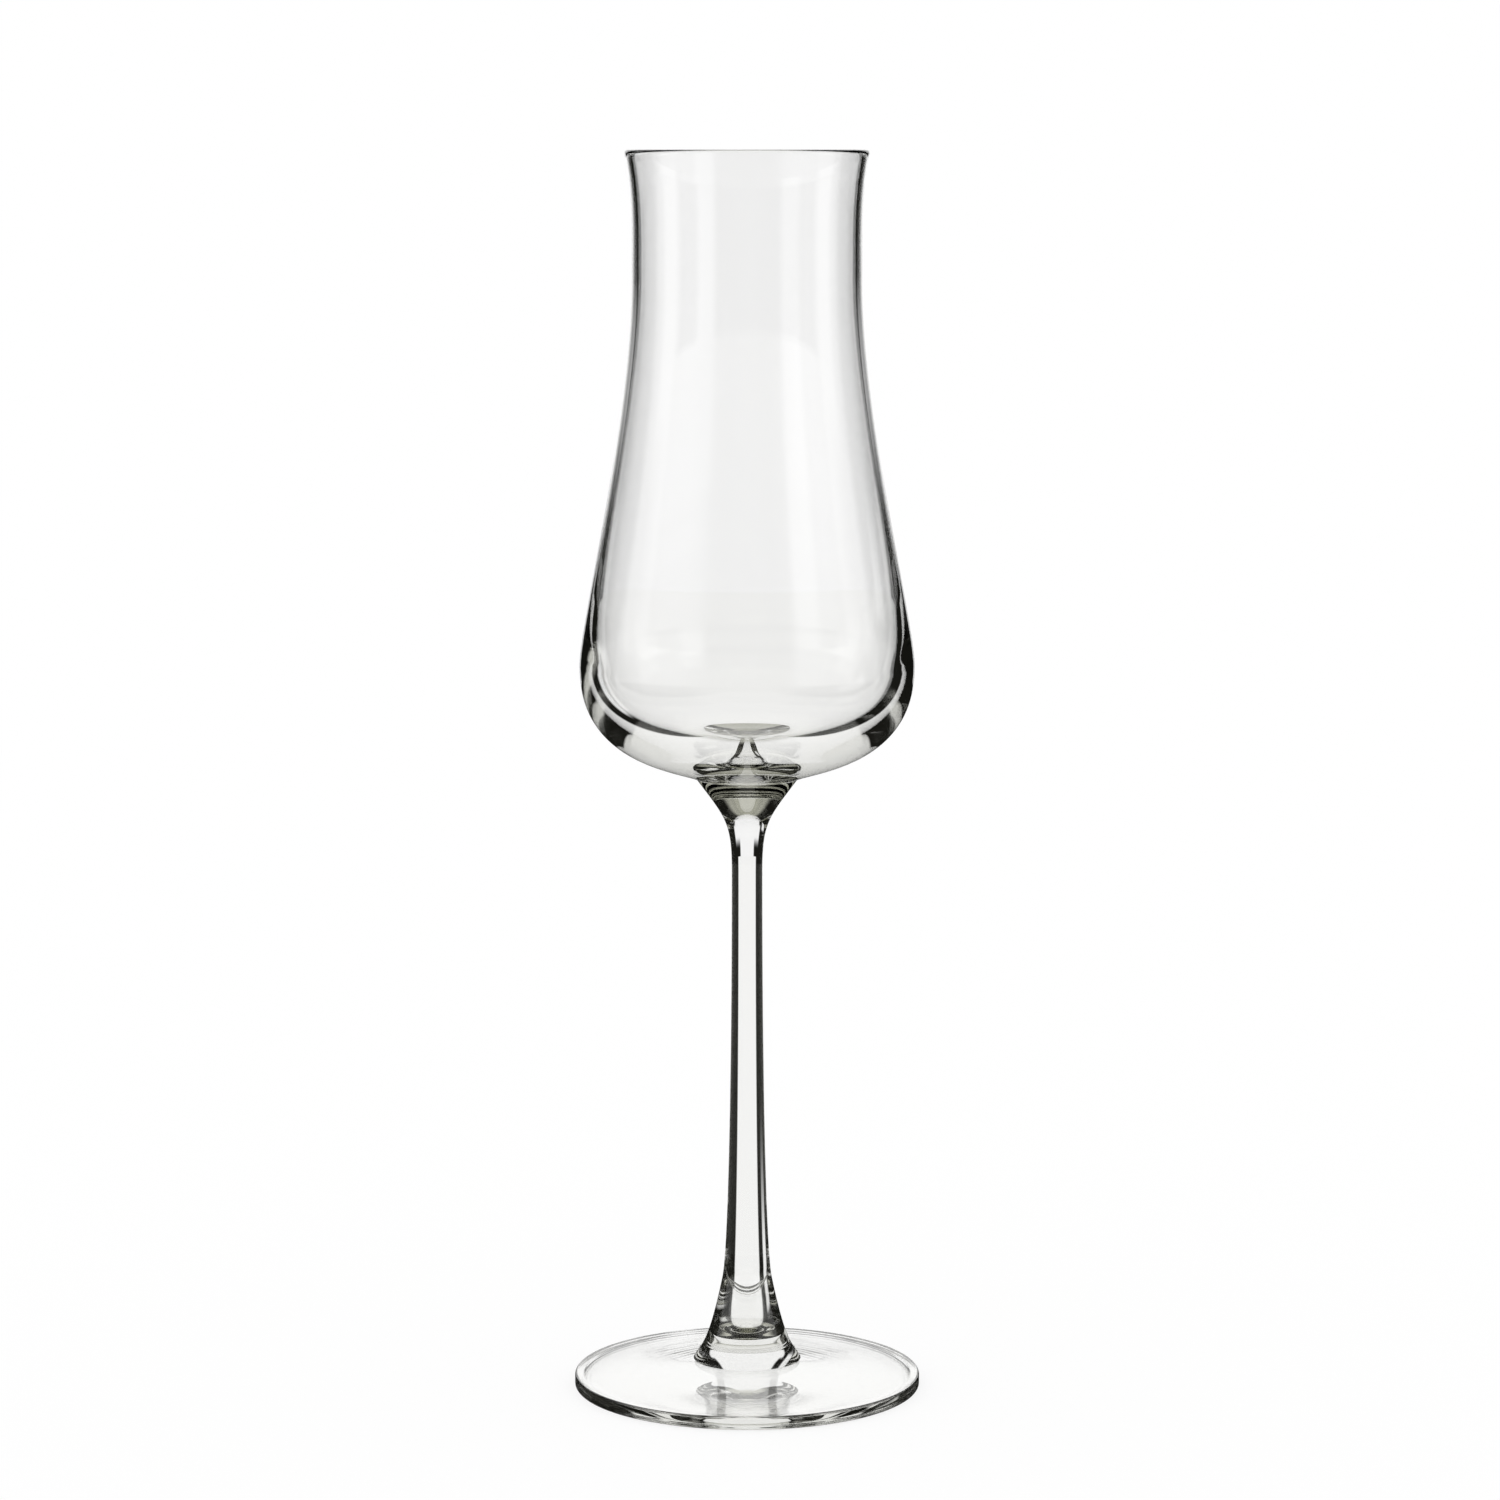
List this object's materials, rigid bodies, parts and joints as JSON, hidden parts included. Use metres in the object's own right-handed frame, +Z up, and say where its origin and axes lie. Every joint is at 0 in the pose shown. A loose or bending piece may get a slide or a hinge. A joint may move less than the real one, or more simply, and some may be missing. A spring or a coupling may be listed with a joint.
{
  "type": "champagne glass",
  "caption": "Tall stemmed champagne glass with a flared rim, a low wide belly and a heavy base, on a slim drawn stem and a round foot.",
  "frame": {"origin": "on the table, at the centre of the flat ring that the foot stands on", "axes": "+Z up along the axis that every piece is turned about; X and Y are alike"},
  "size_m": [0.065, 0.065, 0.2314],
  "materials": {
    "clear_glass": "clear, fire-polished"
  },
  "bodies": {
    "root": {"bowl": "clear_glass", "collar": "clear_glass", "stem": "clear_glass", "button": "clear_glass", "foot": "clear_glass"}
  },
  "joints": []
}
